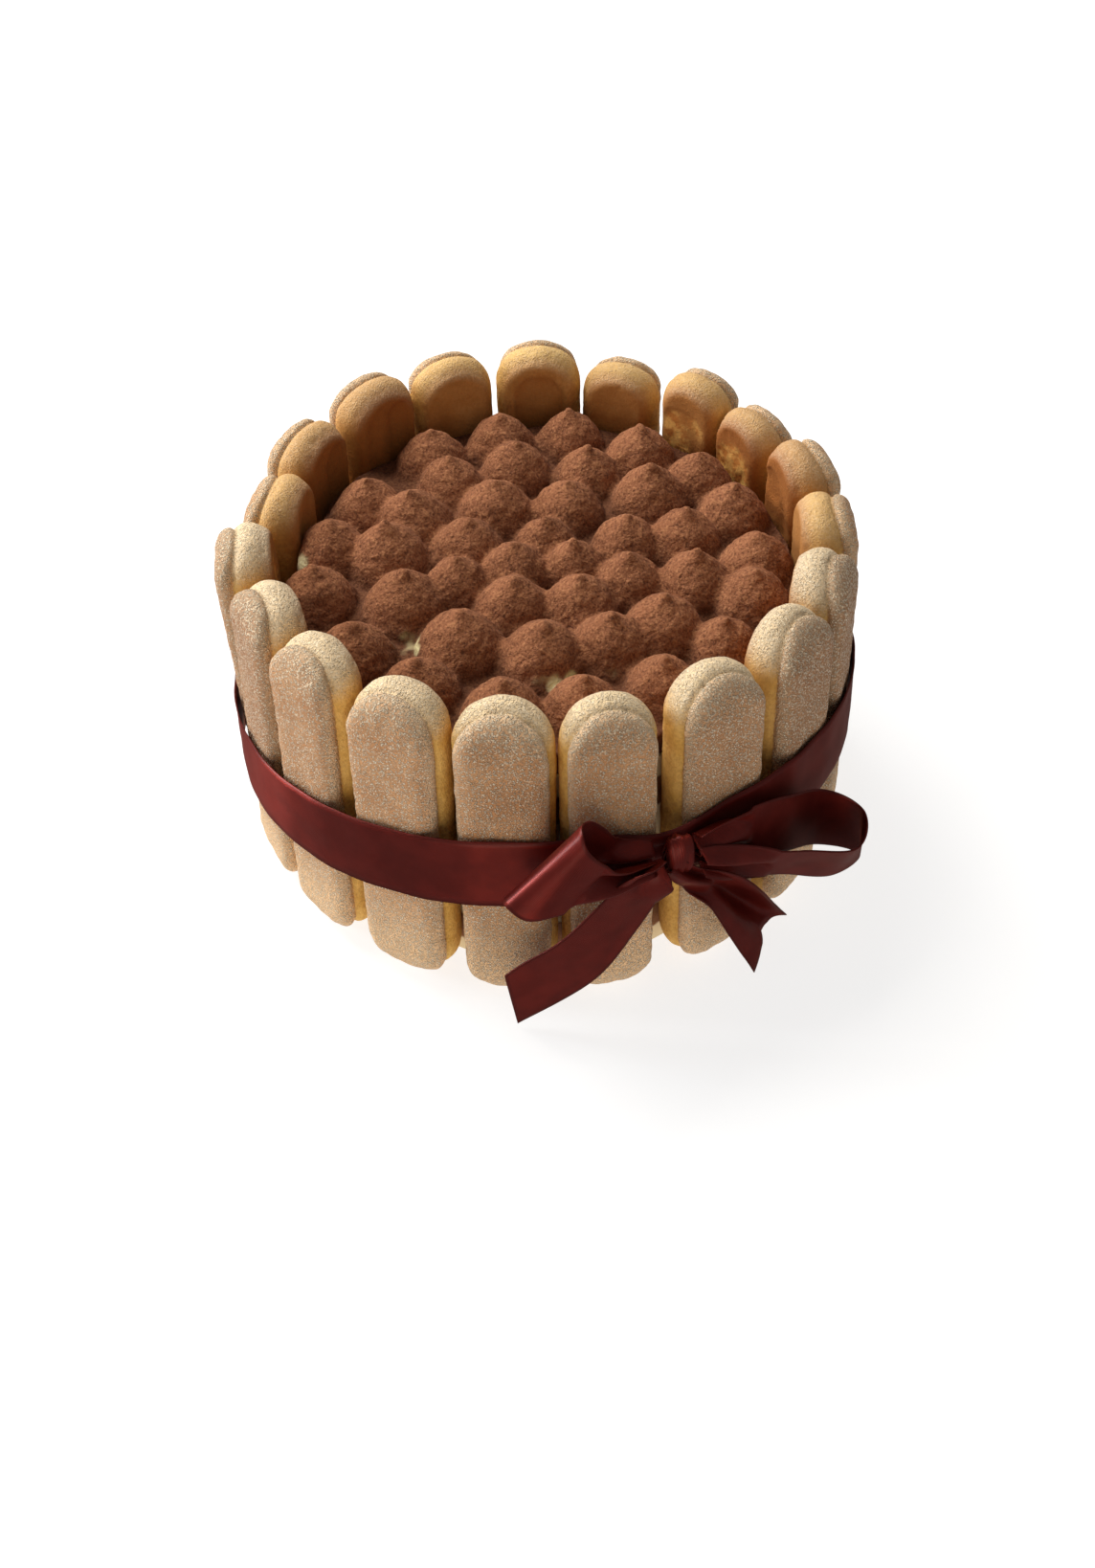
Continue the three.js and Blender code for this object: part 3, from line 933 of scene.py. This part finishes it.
satin = Finish(
    "burgundy_satin",
    Metallic=0.75,
    Anisotropic=0.8,
    Anisotropic_Rotation=0.25,
    Specular_IOR_Level=0.3,
    Specular_Tint=(0.9, 0.5, 0.4, 1),
    Coat_Weight=0.3,
    Coat_Roughness=0.33,
)
weave = satin.node("ShaderNodeUVMap", {"uv_map": "weave"})
across = satin.part(weave, "Y")
turns = across * (2 * math.pi / (THREAD * MM))
threads = satin.node("ShaderNodeMath", {"operation": "SINE"}, {0: turns})
slow = satin.noise(8, 2)
fuzz = satin.noise(0.5, 2)
middle = RIBBON_WIDTH / 2 * MM
from_middle = satin.node("ShaderNodeMath", {"operation": "ABSOLUTE"}, {0: across - middle})
selvedge = satin.step(from_middle, middle - 1.2 * MM, middle - 0.7 * MM)
colour = satin.mix(satin.step(slow, 0.35, 0.65), tint(120, 36, 30), tint(108, 31, 26))
colour = satin.mix(selvedge * 0.5, colour, tint(82, 26, 22))
satin.finish(
    Base_Color=colour,
    Roughness=0.36 + slow * 0.08,
    Normal=satin.raised(threads * 0.3 + fuzz * 0.3 + slow * 0.8, 0.08),
)
print("satin finish:", len(satin.tree.nodes), "nodes")

# %% [markdown]
# Every strip is added in the same way. It gets the thickness of cloth and rides on the cake's
# body, and the size of the flat sheet that it was cut as is printed.

# %% Add a piece of cloth
def add_cloth(bm, name, node, flat):
    """A strip with the thickness of cloth, which prints the size of the sheet that it was cut as."""
    bmesh.ops.scale(bm, vec=(MM, MM, MM), verts=bm.verts)
    piece = add_piece(bm, name, satin.material)
    thicker = piece.modifiers.new("cloth", "SOLIDIFY")
    thicker.thickness = CLOTH * MM
    thicker.offset = 0
    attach(piece, "root")
    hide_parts(node)
    width, length = flat
    width * MM
    length * MM
    print(f"{name}: cut {width} by {length:.0f} mm, {len(piece.data.polygons)} faces")


# %% [markdown]
# The band is pulled tight round the fence. Seen from above, a tight ribbon touches only the
# corners of the fingers and runs straight between them, so its distance from the axis at any
# angle is that of the furthest line between two corners.

# %% The tight band
# where a ribbon can touch a finger: depth from the base, and how far in from the side
TOUCHING = [(16, 2), (17.1, 4.8)]


def contact_corners():
    """The corners of all fingers: the angle and the distance from the axis of each."""
    corners = []
    for azimuth, width, _, out_of_line, _ in FINGERS:
        for depth, inset in TOUCHING:
            across = width / 2 - inset
            out = FENCE_RADIUS + out_of_line - FINGER_DEPTH / 2 + depth
            for x in (-across, across):
                turn = math.radians(azimuth) + math.atan2(x, out)
                corners.append((turn, math.hypot(x, out)))
    return corners


def taut_radius(angle, corners):
    """How far a tight ribbon is from the axis at an angle."""
    near = []
    for turn, radius in corners:
        away = math.remainder(turn - angle, 2 * math.pi)
        if abs(away) < math.radians(45):
            near.append((away, radius))
    chords = [
        a * b * math.sin(far - back) / (a * math.sin(-back) + b * math.sin(far))
        for back, a in near
        if back <= 0
        for far, b in near
        if far > 0
    ]
    return max(chords)


corners = contact_corners()
print("the ribbon can touch", len(corners), "corners")

# %% [markdown]
# Cloth is a little stiff and rounds each corner, so every distance is averaged with its
# neighbours'. The band's height comes from the knot, which pulls it up: it is highest there and
# lowest behind the cake. Near the knot it also gathers, which makes it narrower and rippled.

# %% Wrap the band
BAND_STEPS = 456
BAND_ROWS = 10
BAND_CLEAR = 1.43
EASED = range(-3, 4)
KNOT_AZIMUTH = 290.5
RIBBON_LOW = 34.2
RIBBON_RISE = 24.7
RIBBON_RISE_POWER = 1.54
# what the gathers do: how much narrower, and how high the ripples are
GATHERED = 0.4
RIPPLE = 0.6
SLACK = 0.35


def near_knot(angle, reach):
    """1 at the knot and 0 far from it, with a soft fall over this many degrees."""
    away = math.remainder(angle - math.radians(KNOT_AZIMUTH), 2 * math.pi)
    return math.exp(-((away / math.radians(reach)) ** 2))


def band_height(angle):
    """Height of the band's middle line at an angle."""
    nearness = (1 + math.cos(angle - math.radians(KNOT_AZIMUTH))) / 2
    return RIBBON_LOW + RIBBON_RISE * nearness**RIBBON_RISE_POWER


step_angle = 2 * math.pi / BAND_STEPS
taut = [taut_radius(key * step_angle, corners) for key in range(BAND_STEPS)]
radii = [
    sum(taut[(key + aside) % BAND_STEPS] for aside in EASED) / len(EASED)
    for key in range(BAND_STEPS)
]
around = sum(step_angle * radius for radius in radii)
band = cloth_grid(BAND_STEPS, BAND_ROWS)
stretch_uv(band, around, RIBBON_WIDTH)
for vert in band.verts:
    angle = vert.co.x * 2 * math.pi
    key = round(vert.co.x * BAND_STEPS) % BAND_STEPS
    side = 2 * vert.co.y - 1
    half_width = RIBBON_WIDTH / 2 * (1 - GATHERED * near_knot(angle, 8))
    height = band_height(angle) + side * half_width
    lean_in = (height - FINGER_LENGTH / 2) * math.tan(math.radians(FINGER_LEAN))
    gather = near_knot(angle, 9)
    ripple = gather * math.cos(side * 9) * RIPPLE
    slack = noise.noise(Vector((math.cos(angle), math.sin(angle), side / 4)) * 6) * SLACK
    radius = radii[key] + BAND_CLEAR - lean_in + ripple + slack * (1 - gather)
    vert.co = Vector((radius * math.cos(angle), radius * math.sin(angle), height))
bmesh.ops.remove_doubles(band, verts=band.verts, dist=WELD)
bmesh.ops.recalc_face_normals(band, faces=band.faces)
add_cloth(band, "band_of_satin", "ribbon_band", (RIBBON_WIDTH, around))

# %% [markdown]
# The bow has two loops and two tails. Each is one strip between an upper and a lower edge, and
# the points of the edges follow the soft turns of the real ribbon. Cloth doesn't shrink: where
# the edges come close together, as at the knot, the spare width has to stand up in folds.

# %% Routes of the bow
# each route starts at the knot: points of the upper edge, then of the lower edge
LOOP_RIGHT = (
    [
        (39.6, -90, 69), (49, -85, 70), (63, -76, 66), (79, -62, 54), (90, -66, 49),
        (87, -77, 46), (71, -82, 51), (55, -87, 58), (41.5, -94, 65),
    ],
    [
        (40, -89.6, 58), (50, -84, 55), (64, -75, 43), (79, -61, 30), (92, -61, 25),
        (82.5, -68, 24), (68, -74, 32), (55, -82, 42), (41.5, -93.5, 56),
    ],
)
LOOP_LEFT = (
    [
        (28, -94.5, 69), (20, -96, 72), (15, -98, 80), (11.5, -101, 86), (9, -105, 89),
        (9, -109, 89), (10.5, -111, 85.5), (14.5, -109, 78.5), (19, -105, 72.5), (28, -98.5, 68),
    ],
    [
        (28, -94.5, 60.5), (12.5, -97.5, 58.5), (-0.5, -100, 58), (-8, -103, 61), (-11.5, -107, 63.5),
        (-10.5, -111, 64), (-5.5, -113.5, 62), (2, -112, 62), (13, -107, 61), (28, -99.5, 61),
    ],
)
TAIL_LEFT = (
    [
        (30, -99.5, 70.5), (20.5, -105, 69.5), (12, -105.5, 55.5), (2, -105.5, 42),
        (-12.5, -104.5, 27.5),
    ],
    [
        (31.5, -99.8, 62.5), (30.5, -99, 56), (24.5, -99.5, 41), (11.5, -101, 19),
        (-9.5, -102.5, 2),
    ],
)
TAIL_RIGHT = (
    [
        (35.5, -94.5, 64), (40.5, -92, 57.5), (48, -88.5, 51.5), (56, -84.5, 41.5),
        (65, -79.5, 26), (75.5, -75, 8),
    ],
    [
        (30.5, -98, 61), (34.5, -97, 56), (40.5, -95.5, 49.5), (46.5, -94.5, 42),
        (51.5, -91, 25.5), (60, -86.5, 2.5),
    ],
)

for title, route in [("right loop", LOOP_RIGHT), ("left loop", LOOP_LEFT)]:
    print(title, "has", len(route[0]), "points on each edge")

# %% [markdown]
# A cosine across the strip makes the folds, and its height is the one that uses up the spare
# width. A tail can also stand up in one ridge that wanders over it, and its end can be cut to a
# V: there the rows in the middle of the strip stop short of its end.

# %% Bend a strip
STRIP_ROWS = 24
LEAST_SPARE = 0.3
MOST_SPARE = 0.9
RIDGE_GROWS = 0.2
RIDGE_WIDTH = 0.35
CLOTH_WAVES = 14
WAVES_HIGH = 0.5


def fold_height(width, folds):
    """Height of a cosine of so many folds that makes cloth of full width this narrow."""
    spare = max(0.0, min(MOST_SPARE, RIBBON_WIDTH / width - 1 - LEAST_SPARE))
    return width / folds * math.sqrt(spare) / math.pi


def ridge_height(across, along, ridge):
    """Height of a ridge: where it begins, where across it starts and ends, and how high."""
    begins, start, end, high = ridge
    grown = soften(along, begins - RIDGE_GROWS, begins + RIDGE_GROWS)
    middle = start + (end - start) * max(0.0, (along - begins) / (1 - begins))
    return high * grown * math.exp(-(((across - middle) / RIDGE_WIDTH) ** 2))


def at(curve, share):
    """The point at a share of a curve, between the two points next to it."""
    index = min(len(curve) - 2, int(share * (len(curve) - 1)))
    return curve[index].lerp(curve[index + 1], share * (len(curve) - 1) - index)


def bend_strip(route, steps, folds, ridge, notch):
    """Cloth along a route of two edges, folded where they come close, and its flat length."""
    upper = curve_through(route[0], steps)
    lower = curve_through(route[1], steps)
    count = len(upper) - 1
    middle = [(a + b) / 2 for a, b in zip(upper, lower)]
    length = curve_length(middle)
    bm = cloth_grid(count, STRIP_ROWS)
    stretch_uv(bm, length, RIBBON_WIDTH)
    for vert in bm.verts:
        index = round(vert.co.x * count)
        share = vert.co.y
        cut = 1 - notch * vert.co.x**3 * (1 - abs(2 * share - 1))
        a, b = at(upper, vert.co.x * cut), at(lower, vert.co.x * cut)
        before, after = max(0, index - 1), min(count, index + 1)
        along = (middle[after] - middle[before]).normalized()
        facing = along.cross(b - a).normalized()
        fold = math.cos(share * 2 * math.pi * folds) * fold_height((b - a).length, folds)
        soft = noise.noise(middle[index] / CLOTH_WAVES + Vector((0, 0, share))) * WAVES_HIGH
        raised = ridge_height(share, index / count, ridge)
        vert.co = b.lerp(a, share) + facing * (fold + soft + raised)
    return bm, length


test, length = bend_strip(TAIL_LEFT, 14, 1, (0, 0, 0, 0), 0)
print("a tail of", round(length), "mm has", len(test.faces), "faces")
test.free()

# %% [markdown]
# The table gives each strip its route, how many grid steps lie between two points of it, its
# folds, its ridge, how deep its end is cut, and how the cloth is held.

# %% Loops and tails
NO_RIDGE = (0, 0, 0, 0)
RIGHT_RIDGE = (0.4, 0.1, 0.9, 8)
for name, node, route, steps, folds, ridge, notch, held in [
    ("right_loop", "bow_loop_right", LOOP_RIGHT, 12, 1.5, NO_RIDGE, 0, "folded"),
    ("left_loop", "bow_loop_left", LOOP_LEFT, 10, 1.5, NO_RIDGE, 0, "folded"),
    ("right_tail", "bow_tail_right", TAIL_RIGHT, 10, 1.5, RIGHT_RIDGE, 0.1, "hung"),
    ("left_tail", "bow_tail_left", TAIL_LEFT, 14, 1, NO_RIDGE, 0, "hung"),
]:
    bm, length = bend_strip(route, steps, folds, ridge, notch)
    add_cloth(bm, f"{name}_of_satin", node, (RIBBON_WIDTH, length))

# %% [markdown]
# The knot is the same ribbon, folded in three across its width and wrapped over the crossing.
# A ring of cloth whose section is an S gives the folded layers: going once round the S takes
# the whole width of the ribbon, as in the real knot. Wrinkles run round the ring, deepest in
# the inner layers.

# %% The knot
KNOT_HEIGHT = 63.5
KNOT_RADIUS = 99.3
KNOT_SIZE = Vector((7, 7.4, 14))
KNOT_WRAP = 36
KNOT_BARREL = 0.28
LAYER_GAP = 1.5
KNOT_TWIST = 0.25
WRINKLE = 0.7

knot = cloth_grid(48, 30)
stretch_uv(knot, KNOT_WRAP, RIBBON_WIDTH)
for vert in knot.verts:
    angle = vert.co.x * 2 * math.pi
    share = vert.co.y
    along = KNOT_SIZE.x / 2 * math.cos(3 * math.pi * share)
    barrel = 1 - KNOT_BARREL * (2 * along / KNOT_SIZE.x) ** 2
    layer = (share - 1) * LAYER_GAP + KNOT_TWIST * math.sin(3 * angle + along)
    layer += WRINKLE * math.cos(2.4 * along + 0.8 * math.sin(angle)) * (1 - share * 0.5)
    out = (KNOT_SIZE.y / 2 * barrel + layer) * math.cos(angle)
    up = (KNOT_SIZE.z / 2 * barrel + layer) * math.sin(angle)
    vert.co = Vector((along, out, up))
bmesh.ops.remove_doubles(knot, verts=knot.verts, dist=WELD)
angle = math.radians(KNOT_AZIMUTH)
place = Vector((KNOT_RADIUS * math.cos(angle), KNOT_RADIUS * math.sin(angle), KNOT_HEIGHT))
turned = Matrix.Translation(place) @ Matrix.Rotation(angle - math.pi / 2, 4, "Z")
bmesh.ops.transform(knot, matrix=turned, verts=knot.verts)
add_cloth(knot, "knot_of_satin", "bow_knot", (RIBBON_WIDTH, KNOT_WRAP))

# %% [markdown]
# ## Floor and light
#
# The cake stands on a plain pale floor that glows a little, so it stays white right up to the
# cake. Glossy rays pass through it, because the satin would turn pale from its reflection.

# %% Floor
FLOOR_SIZE = 3

floor = bmesh.new()
bmesh.ops.create_grid(floor, x_segments=1, y_segments=1, size=FLOOR_SIZE)
ground = Finish("pale_floor", Roughness=1, Specular_IOR_Level=0, Emission_Strength=0.78)
paper = ground.mix(ground.noise(40, 2), tint(170, 170, 170), tint(166, 166, 166))
ground.finish(Base_Color=paper)
ground.shader.inputs["Emission Color"].default_value = (1, 1, 1, 1)
floor = add_piece(floor, "floor", ground.material)
floor.visible_glossy = False
print("the floor is", 2 * FLOOR_SIZE, "m wide")

# %% [markdown]
# The main light is a wide soft one, high up behind the cake and to the left, like a window: it
# lights the tips of the fingers and leaves their faces in a gentle shade. A narrow cool one on
# the left gives the satin a line to reflect. A weak warm one near the floor in front opens the
# shade, and a pale sky fills it from all round.

# %% Light
AIM = Vector((0, 0, 0.06))

world = bpy.data.worlds.new("studio")
world.use_nodes = True
world.node_tree.nodes["Background"].inputs["Color"].default_value = (1.0, 0.97, 0.94, 1)
world.node_tree.nodes["Background"].inputs["Strength"].default_value = 0.2
bpy.context.scene.world = world


def soft_light(name, place, width, height, watts, colour):
    """A flat light that looks at the cake."""
    lamp = bpy.data.objects.new(name, bpy.data.lights.new(name, "AREA"))
    bpy.context.collection.objects.link(lamp)
    lamp.location = place
    lamp.rotation_euler = (AIM - lamp.location).to_track_quat("-Z", "Y").to_euler()
    lamp.data.shape = "RECTANGLE"
    lamp.data.size = width
    lamp.data.size_y = height
    lamp.data.energy = watts
    lamp.data.color = colour


soft_light("window", Vector((-0.5, 0.5, 1)), 0.8, 0.8, 17.5, (1.0, 0.97, 0.92))
soft_light("side_window", Vector((-1.2, 0.2, 0.35)), 0.3, 0.6, 10, (0.94, 0.97, 1.0))
soft_light("front_glow", Vector((-0.2, -1.2, 0.12)), 0.9, 0.9, 4.4, (1.0, 0.86, 0.7))
bpy.context.scene.view_settings.view_transform = "Standard"

# %% [markdown]
